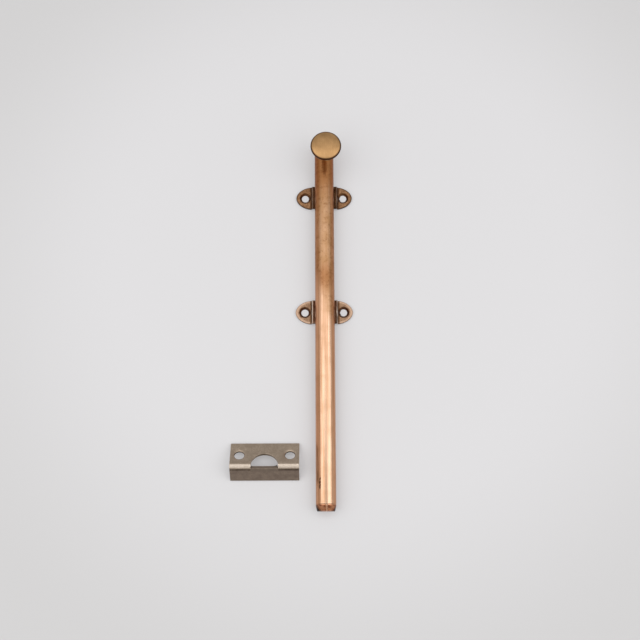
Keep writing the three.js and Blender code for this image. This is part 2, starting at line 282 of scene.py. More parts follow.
def drawnBrass(name, look):
    # sheet brass drawn through a die and left to tone: long fine lines, a rubbed crown, brown clouds, with
    # painted shade on its sides and below the knob
    material, tree, shader, coords = newMaterial(name)
    fine = 1 / (look["streakWidth"] * mm)
    along = 1 / (look["streakLength"] * mm)
    stretched = addNode(tree, "ShaderNodeMapping", inputs={"Vector": coords, "Scale": (fine, along, fine)})
    streaks = addNode(tree, "ShaderNodeTexNoise", inputs={
        "Vector": stretched.outputs[0], "Scale": 1.0, "Detail": 4.0, "Roughness": 0.62}).outputs["Fac"]
    cloud = 1 / (look["cloudSize"] * mm)
    clouds = addNode(tree, "ShaderNodeTexNoise", inputs={
        "Vector": coords, "Scale": cloud, "Detail": 5.0, "Roughness": 0.6}).outputs["Fac"]
    blotch = addNode(tree, "ShaderNodeTexNoise", inputs={
        "Vector": coords, "Scale": 5 * cloud, "Detail": 4.0, "Roughness": 0.7}).outputs["Fac"]
    split = addNode(tree, "ShaderNodeSeparateXYZ", inputs={"Vector": coords})

    # how much patina there is along the bar
    offAxis = addNode(tree, "ShaderNodeMath", {"operation": "SUBTRACT"}, {
        0: split.outputs["X"], 1: barX}).outputs[0]
    slanted = addNode(tree, "ShaderNodeMath", {"operation": "MULTIPLY_ADD"}, {
        0: offAxis, 1: look["patinaSlant"], 2: split.outputs["Y"]}).outputs[0]
    rise = addNode(tree, "ShaderNodeMapRange", {"interpolation_type": "SMOOTHSTEP"}, {
        "Value": slanted, "From Min": noseY + look["patinaFrom"],
        "From Max": noseY + look["patinaTo"]}).outputs["Result"]
    cloudy = addNode(tree, "ShaderNodeMath", {"operation": "MULTIPLY_ADD"}, {
        0: clouds, 1: 1.4, 2: -0.66}).outputs[0]
    patina = addNode(tree, "ShaderNodeMath", {"operation": "MULTIPLY_ADD", "use_clamp": True}, {
        0: rise, 1: 0.72, 2: cloudy}).outputs[0]
    # painted shade: darker below the knob, standing in for the knob's dark reflection in the bar
    under = addNode(tree, "ShaderNodeMapRange", {"interpolation_type": "SMOOTHSTEP"}, {
        "Value": split.outputs["Y"], "From Min": noseY + look["knobShadeFrom"],
        "From Max": noseY + look["knobShadeTo"]}).outputs["Result"]
    drawLines = addNode(tree, "ShaderNodeMapRange", {"interpolation_type": "SMOOTHSTEP"}, {
        "Value": streaks, "From Min": 0.36, "From Max": 0.7}).outputs["Result"]
    warm = addNode(tree, "ShaderNodeMix", {"data_type": "RGBA"}, {
        "Factor": drawLines, 6: linear(look["bright"]), 7: linear(look["tan"])}).outputs[2]
    toned = addNode(tree, "ShaderNodeMix", {"data_type": "RGBA"}, {
        "Factor": patina, 6: warm, 7: linear(look["brown"])}).outputs[2]
    deep = addNode(tree, "ShaderNodeMix", {"data_type": "RGBA"}, {
        "Factor": under, 6: toned, 7: linear(look["deep"])}).outputs[2]
    mottle = addNode(tree, "ShaderNodeValToRGB", inputs={"Fac": blotch}, stops=[
        (0.34, (0.66, 0.58, 0.5, 1)), (0.5, (1, 1, 1, 1))]).outputs["Color"]
    mottled = addNode(tree, "ShaderNodeMix", {"data_type": "RGBA", "blend_type": "MULTIPLY"}, {
        "Factor": patina, 6: deep, 7: mottle}).outputs[2]

    fromStain = addNode(tree, "ShaderNodeMath", {"operation": "SUBTRACT"}, {
        0: split.outputs["Y"], 1: noseY + look["stainAt"]}).outputs[0]
    stainAway = addNode(tree, "ShaderNodeMath", {"operation": "ABSOLUTE"}, {0: fromStain}).outputs[0]
    stainEdge = addNode(tree, "ShaderNodeMath", {"operation": "MULTIPLY_ADD"}, {
        0: clouds, 1: look["stainRagged"], 2: stainAway}).outputs[0]
    stained = addNode(tree, "ShaderNodeMapRange", {"interpolation_type": "SMOOTHSTEP"}, {
        "Value": stainEdge, "From Min": look["stainReach"] + look["stainFade"],
        "From Max": look["stainCore"]}).outputs["Result"]

    # the crown is rubbed pale, a little to the right of the middle, and the sides stay warm and are painted
    # darker: thicker patina, and painted shade where they face the shaded floor
    offCrown = addNode(tree, "ShaderNodeMath", {"operation": "SUBTRACT"}, {
        0: split.outputs["X"], 1: barX + look["crownShift"]}).outputs[0]
    outward = addNode(tree, "ShaderNodeMath", {"operation": "ABSOLUTE"}, {0: offCrown}).outputs[0]
    sideways = addNode(tree, "ShaderNodeMapRange", {"interpolation_type": "SMOOTHSTEP"}, {
        "Value": outward, "From Min": look["sideFrom"] * crownRadius,
        "From Max": look["sideTo"] * crownRadius}).outputs["Result"]
    onCrown = addNode(tree, "ShaderNodeMath", {"operation": "SUBTRACT", "use_clamp": True}, {
        0: stained, 1: sideways}).outputs[0]
    browned = addNode(tree, "ShaderNodeMix", {"data_type": "RGBA", "blend_type": "MULTIPLY"}, {
        "Factor": onCrown, 6: mottled, 7: linear(look["stain"])}).outputs[2]
    sided = addNode(tree, "ShaderNodeMix", {"data_type": "RGBA", "blend_type": "MULTIPLY"}, {
        "Factor": sideways, 6: browned, 7: linear(look["side"])}).outputs[2]

    # small dark knocks near the nose, scattered like scratches where it has missed the strike
    near = addNode(tree, "ShaderNodeMapping", {"vector_type": "TEXTURE"}, {
        "Vector": coords, "Scale": look["knockSize"],
        "Location": (barX + look["knockPlace"][0], noseY + look["knockPlace"][1], barBack + barSize.z)})
    ball = addNode(tree, "ShaderNodeTexGradient", {"gradient_type": "SPHERICAL"}, {"Vector": near.outputs[0]})
    long = addNode(tree, "ShaderNodeMapping", inputs={"Vector": coords, "Scale": (1.0, 0.35, 1.0)})
    ragged = addNode(tree, "ShaderNodeTexNoise", inputs={
        "Vector": long.outputs[0], "Scale": 1 / (look["knockGrain"] * mm), "Detail": 5.0,
        "Roughness": 0.75}).outputs["Fac"]
    knock = addNode(tree, "ShaderNodeMath", {"operation": "MULTIPLY"}, {
        0: ball.outputs["Fac"], 1: ragged}).outputs[0]
    knocked = addNode(tree, "ShaderNodeMapRange", inputs={
        "Value": knock, "From Min": 0.33, "From Max": 0.39}).outputs["Result"]
    marked = addNode(tree, "ShaderNodeMix", {"data_type": "RGBA"}, {
        "Factor": knocked, 6: sided, 7: linear(look["mark"])}).outputs[2]

    # the sloped nose is painted red-brown, black towards its corners and its tip, with one painted highlight
    # line
    fromTip = addNode(tree, "ShaderNodeMath", {"operation": "SUBTRACT"}, {
        0: split.outputs["Y"], 1: noseY}).outputs[0]
    scalloped = addNode(tree, "ShaderNodeMath", {"operation": "MULTIPLY_ADD"}, {
        0: blotch, 1: -look["noseRagged"], 2: fromTip}).outputs[0]
    onNose = addNode(tree, "ShaderNodeMapRange", inputs={
        "Value": scalloped, "From Min": look["noseEnd"] - 0.45 * mm,
        "From Max": look["noseEnd"] - 0.85 * mm}).outputs[0]
    towardTip = addNode(tree, "ShaderNodeMath", {"operation": "MULTIPLY_ADD"}, {
        0: fromTip, 1: -0.14 / mm, 2: 0.28}).outputs[0]
    corner = addNode(tree, "ShaderNodeMath", {"operation": "MULTIPLY_ADD"}, {
        0: outward, 1: 1 / crownRadius, 2: towardTip}).outputs[0]
    blackening = addNode(tree, "ShaderNodeMath", {"operation": "MULTIPLY_ADD"}, {
        0: blotch, 1: 0.9, 2: corner}).outputs[0]
    black = addNode(tree, "ShaderNodeMapRange", {"interpolation_type": "SMOOTHSTEP"}, {
        "Value": blackening, "From Min": 1.12, "From Max": 1.52}).outputs["Result"]
    burnt = addNode(tree, "ShaderNodeValToRGB", inputs={"Fac": blotch}, stops=[
        (0.38, linear(look["nose"])), (0.58, linear(look["noseWarm"]))]).outputs["Color"]
    scorched = addNode(tree, "ShaderNodeMix", {"data_type": "RGBA"}, {
        "Factor": black, 6: burnt, 7: linear(look["noseDark"])}).outputs[2]
    fromLine = addNode(tree, "ShaderNodeMath", {"operation": "SUBTRACT"}, {
        0: split.outputs["X"], 1: barX + look["highlightLineAt"]}).outputs[0]
    centred = addNode(tree, "ShaderNodeMath", {"operation": "ABSOLUTE"}, {0: fromLine}).outputs[0]
    line = addNode(tree, "ShaderNodeMapRange", inputs={
        "Value": centred, "From Min": look["highlightLineSoft"],
        "From Max": look["highlightLineHalf"]}).outputs["Result"]
    # painted highlight: a pale line down the nose, standing in for a reflection of the lights
    rubbed = addNode(tree, "ShaderNodeMix", {"data_type": "RGBA"}, {
        "Factor": line, 6: scorched, 7: linear(look["noseHighlight"])}).outputs[2]
    colour = addNode(tree, "ShaderNodeMix", {"data_type": "RGBA"}, {
        "Factor": onNose, 6: marked, 7: rubbed}).outputs[2]
    tree.links.new(colour, shader.inputs["Base Color"])

    sheen = addNode(tree, "ShaderNodeMath", {"operation": "MULTIPLY_ADD"}, {
        0: streaks, 1: 0.14, 2: look["roughness"] - 0.07}).outputs[0]
    dull = addNode(tree, "ShaderNodeMath", {"operation": "MULTIPLY_ADD"}, {
        0: patina, 1: 0.1, 2: sheen}).outputs[0]
    tree.links.new(dull, shader.inputs["Roughness"])
    bump = addNode(tree, "ShaderNodeBump", inputs={"Height": streaks, "Strength": 0.4, "Distance": 0.02 * mm})
    pits = addNode(tree, "ShaderNodeBump", inputs={
        "Height": blotch, "Strength": 0.2, "Distance": 0.03 * mm, "Normal": bump.outputs[0]})
    tree.links.new(pits.outputs[0], shader.inputs["Normal"])
    return material


knobFinish = {
    "light": "#C0986A",
    "dark": "#98744C",
    "rim": "#4A3020",         # grime that collects round the edge of the cap
    "rimFrom": 0.87,          # shares of the cap's radius
    "rimTo": 0.96,
    "roughness": 0.38,
    "turning": 0.35,          # mm between the lathe's rings, coarser than the real ones so that they show
    "scratch": (0.5, 6, 3),   # mm, width, length and depth of the wiping scratches
    "cloudSize": 4.0,
}


def turnedBrass(name, look, centre, radius):
    # brass turned in a lathe and handled for years: faint rings, soft sheen, dark skirt
    material, tree, shader, coords = newMaterial(name)
    local = addNode(tree, "ShaderNodeVectorMath", {"operation": "SUBTRACT"}, {
        0: coords, 1: tuple(centre)}).outputs[0]
    flat = addNode(tree, "ShaderNodeVectorMath", {"operation": "MULTIPLY"}, {
        0: local, 1: (1, 1, 0)}).outputs[0]
    reach = addNode(tree, "ShaderNodeVectorMath", {"operation": "LENGTH"}, {0: flat}).outputs["Value"]
    turns = addNode(tree, "ShaderNodeMath", {"operation": "MULTIPLY"}, {
        0: reach, 1: 1 / (look["turning"] * mm)}).outputs[0]
    rings = addNode(tree, "ShaderNodeTexNoise", {"noise_dimensions": "1D"}, {
        "W": turns, "Scale": 1.0, "Detail": 3.0}).outputs["Fac"]
    # fine wiping scratches that run across the face
    wiped = addNode(tree, "ShaderNodeMapping", inputs={
        "Vector": coords, "Rotation": (0, 0, math.radians(35)),
        "Scale": tuple(1 / (size * mm) for size in look["scratch"])})
    scratches = addNode(tree, "ShaderNodeTexNoise", inputs={
        "Vector": wiped.outputs[0], "Scale": 1.0, "Detail": 3.0, "Roughness": 0.6}).outputs["Fac"]
    clouds = addNode(tree, "ShaderNodeTexNoise", inputs={
        "Vector": coords, "Scale": 1 / (look["cloudSize"] * mm), "Detail": 5.0,
        "Roughness": 0.65}).outputs["Fac"]
    lines = addNode(tree, "ShaderNodeMath", {"operation": "ADD"}, {0: rings, 1: scratches}).outputs[0]
    cloudy = addNode(tree, "ShaderNodeMath", {"operation": "MULTIPLY_ADD"}, {
        0: clouds, 1: 1.2, 2: -0.65}).outputs[0]
    tone = addNode(tree, "ShaderNodeMath", {"operation": "MULTIPLY_ADD", "use_clamp": True}, {
        0: lines, 1: 0.6, 2: cloudy}).outputs[0]
    body = addNode(tree, "ShaderNodeMix", {"data_type": "RGBA"}, {
        "Factor": tone, 6: linear(look["dark"]), 7: linear(look["light"])}).outputs[2]
    edge = addNode(tree, "ShaderNodeMapRange", {"interpolation_type": "SMOOTHSTEP"}, {
        "Value": reach, "From Min": radius * look["rimFrom"],
        "From Max": radius * look["rimTo"]}).outputs["Result"]
    colour = addNode(tree, "ShaderNodeMix", {"data_type": "RGBA"}, {
        "Factor": edge, 6: body, 7: linear(look["rim"])}).outputs[2]
    tree.links.new(colour, shader.inputs["Base Color"])
    rough = addNode(tree, "ShaderNodeMath", {"operation": "MULTIPLY_ADD"}, {
        0: clouds, 1: 0.16, 2: look["roughness"] - 0.08}).outputs[0]
    tree.links.new(rough, shader.inputs["Roughness"])
    bump = addNode(tree, "ShaderNodeBump", inputs={"Height": lines, "Strength": 0.25, "Distance": 0.02 * mm})
    tree.links.new(bump.outputs[0], shader.inputs["Normal"])
    return material


# holes, ear (centre, tip, half width, roundness), shift and notch are the blank's own measures in mm
# marks: what is measured on the flat blank (mm), where, half its width, how soft, its colour and amount
# pressed brass, pickled dark and rubbed: brown in the low places and pale along its edges, with painted shade
# along the bar and in its creases and a painted highlight on each bead
guideFinish = {
    "rubbed": "#A5876C", "body": "#765A46", "deep": "#3A2216",
    "roughness": 0.36, "patchSize": 3.0, "grain": 0.5, "wearReach": 0.5,
    "holes": (10.75, 0), "ear": (7.0, 15.9, 6.65, 1.87), "shift": 0.27,
    "marks": [
        ("edge", 0.86, 0.08, 0.1, "#C2A48E", 0.6),
        # dark rim round the ear: a dark edge, deepened by painted contact shadow
        ("edge", 1.02, 0.03, 0.06, "#5E4838", 0.6),
        ("hole", 1.5, 1.62, 0.15, "#54301C", 0.9),
        # dark line at the foot of each bend: patina in the crease, with painted shade
        ("across", 7.95, 0.2, 0.3, "#54361F", 0.85),
        # pale line along each bead: painted highlight, where the bead is also rubbed bright
        ("across", 6.9, 0.28, 0.15, "#BEAFA2", 1.0),
        # dark band under and beside the bar: painted shadow of the bar, over patina
        ("across", 4.0, 2.35, 0.15, "#3A2014", 1.0),
    ],
}
# the guide nearest the knob keeps more of its patina
upperGuideFinish = {
    "rubbed": "#AC8562", "body": "#76543A", "deep": "#301C10",
    "roughness": 0.38, "patchSize": 2.6, "grain": 0.5, "wearReach": 0.4,
    "holes": (10.75, 0), "ear": (7.0, 15.9, 6.65, 1.87), "shift": 0.27,
    "marks": [
        # dark rim round the ear: a dark edge, deepened by painted contact shadow
        ("edge", 1.0, 0.06, 0.1, "#33241A", 0.85),
        ("hole", 1.5, 1.62, 0.2, "#5A381E", 0.88),
        # dark line at the foot of each bend: patina in the crease, with painted shade
        ("across", 7.95, 0.3, 0.4, "#4A2E1C", 0.9),
        # paler line along each bead: painted highlight, where the bead is also rubbed
        ("across", 6.9, 0.28, 0.15, "#7E6A5C", 1.0),
        # dark band under and beside the bar: painted shadow of the bar, over patina
        ("across", 4.0, 2.35, 0.15, "#2C180C", 1.0),
    ],
}
# steel sheet, pressed and tumbled: dull grey-brown and speckled, with a painted highlight on its bend, a
# painted dark reflection in the crease below, and painted shade on the lip and in the holes
strikeFinish = {
    "rubbed": "#BFAE9B", "body": "#9E8D7C", "deep": "#5E524A",
    "roughness": 0.4, "patchSize": 3.5, "grain": 0.45, "wearReach": 0.45,
    "holes": (13.5, 5.5), "ear": None, "shift": 0, "notch": 7.3,
    "marks": [
        # painted shade in the screw holes
        ("hole", 1.0, 1.72, 0.15, "#3C3029", 0.95),
        # painted shade on the lip's face
        ("along", -9.2, 4.5, 0.3, "#6E5F54", 0.85),
        # painted highlight along the bend
        ("along", -1.9, 0.7, 0.6, "#D8CCBE", 0.6),
        # painted dark reflection in the crease below the bend, on either side of the notch
        ("beside", -4.1, 0.45, 0.3, "#3E3029", 0.85),
        # painted shade on the cut face and the lip below the notch
        ("below", -4.2, 1.0, 0.2, "#786A5E", 0.9),
    ],
}
# cut and filed brass: plain and even, seen through the slot and at the open end
innerFinish = {
    "rubbed": "#D0A478", "body": "#A87A4E", "deep": "#4B301C",
    "roughness": 0.38, "patchSize": 4.0, "grain": 0.4, "wearReach": 0.3,
    "holes": None, "ear": None, "shift": 0, "marks": [],
}
# rolled bronze strip: smoother and redder than the brass round it
springFinish = {
    "rubbed": "#D09A5C", "body": "#B47A44", "deep": "#5E3A1E",
    "roughness": 0.3, "patchSize": 5.0, "grain": 0.4, "wearReach": 0.2,
    "holes": None, "ear": None, "shift": 0, "marks": [],
}


farAway = 50.0    # mm, further than any mark reaches


def blankMeasures(tree, look):
    # distances on the flat blank, in millimetres: from the middle, along it, and from the nearest hole
    spot = addNode(tree, "ShaderNodeSeparateXYZ", inputs={
        "Vector": addNode(tree, "ShaderNodeUVMap", {"uv_map": "blank"}).outputs[0]})
    outward = addNode(tree, "ShaderNodeMath", {"operation": "ABSOLUTE"}, {0: spot.outputs["X"]}).outputs[0]
    shifted = addNode(tree, "ShaderNodeMath", {"operation": "SUBTRACT"}, {
        0: spot.outputs["X"], 1: look["shift"]}).outputs[0]
    across = addNode(tree, "ShaderNodeMath", {"operation": "ABSOLUTE"}, {0: shifted}).outputs[0]
    folded = addNode(tree, "ShaderNodeCombineXYZ", inputs={"X": outward, "Y": spot.outputs["Y"]}).outputs[0]
    hole = addNode(tree, "ShaderNodeVectorMath", {"operation": "DISTANCE"}, {
        0: folded, 1: look["holes"] + (0,)})
    measures = {"across": across, "along": spot.outputs["Y"], "hole": hole.outputs["Value"]}
    if look.get("notch"):
        # along the blank too, but only on either side of the notch, or only below it
        cut = addNode(tree, "ShaderNodeMath", {"operation": "LESS_THAN"}, {
            0: across, 1: look["notch"]}).outputs[0]
        measures["beside"] = addNode(tree, "ShaderNodeMath", {"operation": "MULTIPLY_ADD"}, {
            0: cut, 1: farAway, 2: spot.outputs["Y"]}).outputs[0]
        uncut = addNode(tree, "ShaderNodeMath", {"operation": "SUBTRACT"}, {0: 1.0, 1: cut}).outputs[0]
        measures["below"] = addNode(tree, "ShaderNodeMath", {"operation": "MULTIPLY_ADD"}, {
            0: uncut, 1: farAway, 2: spot.outputs["Y"]}).outputs[0]
    if look["ear"]:
        centre, tip, half, power = look["ear"]
        out = addNode(tree, "ShaderNodeMapRange", inputs={
            "Value": outward, "From Min": centre, "From Max": tip}).outputs["Result"]
        share = addNode(tree, "ShaderNodeMath", {"operation": "DIVIDE"}, {
            0: spot.outputs["Y"], 1: half}).outputs[0]
        up = addNode(tree, "ShaderNodeMath", {"operation": "ABSOLUTE"}, {0: share}).outputs[0]
        raised = [addNode(tree, "ShaderNodeMath", {"operation": "POWER"}, {0: part, 1: power}).outputs[0]
                  for part in (out, up)]
        measures["edge"] = addNode(tree, "ShaderNodeMath", {"operation": "ADD"}, {
            0: raised[0], 1: raised[1]}).outputs[0]
    return measures


def pressedMetal(name, look):
    # pressed sheet tumbled and toned: painted shade in the corners, rubbed light along the edges, fine grain
    material, tree, shader, coords = newMaterial(name)
    clouds = addNode(tree, "ShaderNodeTexNoise", inputs={
        "Vector": coords, "Scale": 1 / (look["patchSize"] * mm), "Detail": 6.0,
        "Roughness": 0.65}).outputs["Fac"]
    speck = addNode(tree, "ShaderNodeTexNoise", inputs={
        "Vector": coords, "Scale": 1 / (look["grain"] * mm), "Detail": 3.0, "Roughness": 0.6}).outputs["Fac"]
    tone = addNode(tree, "ShaderNodeValToRGB", inputs={"Fac": clouds}, stops=[
        (0.36, (0, 0, 0, 1)), (0.66, (1, 1, 1, 1))]).outputs["Color"]
    patch = addNode(tree, "ShaderNodeMath", {"operation": "MULTIPLY"}, {0: tone, 1: 0.5}).outputs[0]
    grainy = addNode(tree, "ShaderNodeMapRange", inputs={
        "Value": speck, "From Min": 0.35, "From Max": 0.65, "To Min": -0.5, "To Max": 0.5}).outputs["Result"]
    rounded = addNode(tree, "ShaderNodeBevel", {"samples": 8}, {"Radius": look["wearReach"] * mm}).outputs[0]
    straight = addNode(tree, "ShaderNodeNewGeometry").outputs["Normal"]
    bend = addNode(tree, "ShaderNodeVectorMath", {"operation": "DOT_PRODUCT"}, {0: rounded, 1: straight})
    corner = addNode(tree, "ShaderNodeAmbientOcclusion", {"samples": 8}, {"Distance": 1.6 * mm}).outputs["AO"]
    edge = addNode(tree, "ShaderNodeMapRange", inputs={
        "Value": bend.outputs["Value"], "From Min": 0.99, "From Max": 0.90}).outputs["Result"]
    openEdge = addNode(tree, "ShaderNodeMath", {"operation": "MULTIPLY"}, {0: edge, 1: corner}).outputs[0]
    worn = addNode(tree, "ShaderNodeMath", {"operation": "MULTIPLY_ADD"}, {
        0: openEdge, 1: clouds, 2: grainy}).outputs[0]
    rub = addNode(tree, "ShaderNodeMath", {"operation": "ADD", "use_clamp": True}, {
        0: worn, 1: patch}).outputs[0]
    base = addNode(tree, "ShaderNodeMix", {"data_type": "RGBA"}, {
        "Factor": rub, 6: linear(look["body"]), 7: linear(look["rubbed"])}).outputs[2]
    measures = blankMeasures(tree, look) if look["marks"] else {}
    uneven = addNode(tree, "ShaderNodeMapRange", inputs={
        "Value": clouds, "From Min": 0.3, "From Max": 0.6, "To Min": 0.55}).outputs["Result"]
    for measure, middle, half, soft, tint, amount in look["marks"]:
        away = addNode(tree, "ShaderNodeMath", {"operation": "SUBTRACT"}, {
            0: measures[measure], 1: middle}).outputs[0]
        apart = addNode(tree, "ShaderNodeMath", {"operation": "ABSOLUTE"}, {0: away}).outputs[0]
        inside = addNode(tree, "ShaderNodeMapRange", {"interpolation_type": "SMOOTHSTEP"}, {
            "Value": apart, "From Min": half + soft, "From Max": half, "To Max": amount}).outputs["Result"]
        much = addNode(tree, "ShaderNodeMath", {"operation": "MULTIPLY"}, {0: inside, 1: uneven}).outputs[0]
        base = addNode(tree, "ShaderNodeMix", {"data_type": "RGBA"}, {
            "Factor": much, 6: base, 7: linear(tint)}).outputs[2]
    # painted shade: the colour is darkened towards deep where the ambient occlusion finds corners and hollows
    shade = addNode(tree, "ShaderNodeMapRange", inputs={
        "Value": corner, "From Min": 0.8, "From Max": 0.3}).outputs["Result"]
    colour = addNode(tree, "ShaderNodeMix", {"data_type": "RGBA"}, {
        "Factor": shade, 6: base, 7: linear(look["deep"])}).outputs[2]
    tree.links.new(colour, shader.inputs["Base Color"])
    rough = addNode(tree, "ShaderNodeMath", {"operation": "MULTIPLY_ADD"}, {
        0: speck, 1: 0.2, 2: look["roughness"] - 0.1}).outputs[0]
    tree.links.new(rough, shader.inputs["Roughness"])
    bump = addNode(tree, "ShaderNodeBump", inputs={"Height": speck, "Strength": 0.4, "Distance": 0.03 * mm})
    tree.links.new(bump.outputs[0], shader.inputs["Normal"])
    return material


barMiddle, barSize, barLow = nodeBox("bar_shell")
_, plugSize, plugLow = nodeBox("nose_plug")
barX = barMiddle.x
barBack = barLow.z
noseY = plugLow.y

barShape = {
    "sheet": 0.9 * mm,
    "bend": 0.8 * mm,
    "slot": 5.2 * mm,
    "crownSteps": 56,
    "lengthSteps": 140,
    "waviness": 0.035 * mm,   # drawn bar is never quite straight, which makes its highlights waver
    "wavesPerMetre": (160.0, 45.0, 160.0),
    "wavinessSeed": 3.0,
    "endRound": 0.15 * mm,
    "insideCorner": 0.3 * mm,
    "lipSoft": 0.12 * mm,
}
crownRadius = barSize.x / 2
crownCentre = barSize.z - crownRadius


def halfRound(inset, corner, steps):
    # the bar's outline in x and height above its back, right-hand bottom corner first
    half = crownRadius - inset
    low = inset + corner
    points = arc((half - corner, low), corner, -90, 0, 5)
    points += arc((0, crownCentre), half, 0, 180, steps)
    points += arc((-half + corner, low), corner, 180, 270, 5)
    return points


def barSection(shape):
    outer = halfRound(0, shape["bend"], shape["crownSteps"])
    inner = halfRound(shape["sheet"], shape["insideCorner"], shape["crownSteps"])
    lip, soft, sheet = shape["slot"] / 2, shape["lipSoft"], shape["sheet"]
    outside = [(lip + soft, 0)] + outer + [(-lip - soft, 0), (-lip, soft)]
    inside = [(-lip, sheet - soft), (-lip - soft, sheet)] + inner[::-1]
    return outside + inside + [(lip + soft, sheet), (lip, sheet - soft)]


def barTree(material):
    # sweeps the section along the bar and lets the surface waver a little
    tree = bpy.data.node_groups.new("bentBar", "GeometryNodeTree")
    tree.interface.new_socket("Geometry", in_out="OUTPUT", socket_type="NodeSocketGeometry")
    for label, kind in (("Section", "Object"), ("Start", "Vector"), ("End", "Vector"), ("Steps", "Int"),
                        ("Waviness", "Float"), ("Seed", "Float")):
        tree.interface.new_socket(label, in_out="INPUT", socket_type="NodeSocket" + kind)
    given = addNode(tree, "NodeGroupInput").outputs
    line = addNode(tree, "GeometryNodeCurvePrimitiveLine", inputs={
        "Start": given["Start"], "End": given["End"]})
    stations = addNode(tree, "GeometryNodeResampleCurve", inputs={
        "Curve": line.outputs[0], "Count": given["Steps"]})
    section = addNode(tree, "GeometryNodeObjectInfo", inputs={"Object": given["Section"]})
    swept = addNode(tree, "GeometryNodeCurveToMesh", inputs={
        "Curve": stations.outputs[0], "Profile Curve": section.outputs["Geometry"], "Fill Caps": True})
    place = addNode(tree, "GeometryNodeInputPosition").outputs[0]
    slow = addNode(tree, "ShaderNodeVectorMath", {"operation": "MULTIPLY"}, {
        0: place, 1: barShape["wavesPerMetre"]})
    waver = addNode(tree, "ShaderNodeTexNoise", {"noise_dimensions": "4D"}, {
        "Vector": slow.outputs[0], "W": given["Seed"], "Scale": 1.0, "Detail": 1.0})
    signed = addNode(tree, "ShaderNodeMath", {"operation": "SUBTRACT"}, {0: waver.outputs["Fac"], 1: 0.5})
    amount = addNode(tree, "ShaderNodeMath", {"operation": "MULTIPLY"}, {
        0: signed.outputs[0], 1: given["Waviness"]})
    normal = addNode(tree, "GeometryNodeInputNormal").outputs[0]
    sideways = addNode(tree, "ShaderNodeVectorMath", {"operation": "MULTIPLY"}, {
        0: normal, 1: (1, 0, 1)}).outputs[0]
    offset = addNode(tree, "ShaderNodeVectorMath", {"operation": "SCALE"}, {
        0: sideways, "Scale": amount.outputs[0]})
    moved = addNode(tree, "GeometryNodeSetPosition", inputs={
        "Geometry": swept.outputs[0], "Offset": offset.outputs[0]})
    solid = addNode(tree, "GeometryNodeRealizeInstances", inputs={"Geometry": moved.outputs[0]})
    coloured = addNode(tree, "GeometryNodeSetMaterial", inputs={
        "Geometry": solid.outputs[0], "Material": material})
    addNode(tree, "NodeGroupOutput", inputs={"Geometry": coloured.outputs[0]})
    return tree


def setInputs(modifier, values):
    sockets = {item.name: item.identifier for item in modifier.node_group.interface.items_tree
               if item.item_type == "SOCKET" and item.in_out == "INPUT"}
    for label, value in values.items():
        modifier[sockets[label]] = value


def bakeNodes(name, host):
    # the evaluated result as a plain mesh on a new object, with no modifier left
    bpy.context.view_layer.update()
    evaluated = host.evaluated_get(bpy.context.evaluated_depsgraph_get())
    mesh = bpy.data.meshes.new_from_object(evaluated)
    mesh.name = name
    piece = bpy.data.objects.new(name, mesh)
    bpy.context.scene.collection.objects.link(piece)
    bpy.data.objects.remove(host)
    return piece


def makeBar(material):
    curve = bpy.data.curves.new("barSection", "CURVE")
    curve.dimensions = "2D"
    points = barSection(barShape)
    spline = curve.splines.new("POLY")
    spline.points.add(len(points) - 1)
    for spot, (x, height) in zip(spline.points, points):
        spot.co = (x, -height, 0, 1)
    spline.use_cyclic_u = True
    section = bpy.data.objects.new("barSection", curve)
    bpy.context.scene.collection.objects.link(section)
    host = bpy.data.objects.new("barHost", bpy.data.meshes.new("barHost"))
    bpy.context.scene.collection.objects.link(host)
    modifier = host.modifiers.new("sweep", "NODES")
    modifier.node_group = barTree(material)
    setInputs(modifier, {
        "Section": section,
        "Start": (barX, barLow.y, barBack),
        "End": (barX, barLow.y + barSize.y, barBack),
        "Steps": barShape["lengthSteps"],
        "Waviness": barShape["waviness"],
        "Seed": barShape["wavinessSeed"],
    })
    piece = bakeNodes("bar", host)
    bpy.data.objects.remove(section)
    facesOutward(piece)
    piece.data.polygons.foreach_set("use_smooth", [True] * len(piece.data.polygons))
    roundEdges(piece, barShape["endRound"], angle=50, segments=2)
    finish(piece, material, movingBody, "bar_brass", "bar_shell")


nose = {
    "taperLength": 3.5 * mm,
    "narrow": 0.6 * mm,
    "drop": 1.7 * mm,
    "shoulder": 0.1 * mm,     # small step where the plug meets the bent sheet
    "shoulderRun": 0.12 * mm,
    "tipRound": 0.4 * mm,
    "shankGap": 0.05 * mm,    # the plug is an easy fit in the bar
    "slopeSteps": 12,
}


def noseRing(y, narrow, drop, steps=40):
    # the bar's outline at y, drawn in from the sides and from the top, with its back left flat
    points = halfRound(0, barShape["bend"], steps)
    across = 1 - narrow / crownRadius
    upward = 1 - drop / barSize.z
    return [Vector((barX + x * across, y, barBack + z * upward)) for x, z in points]


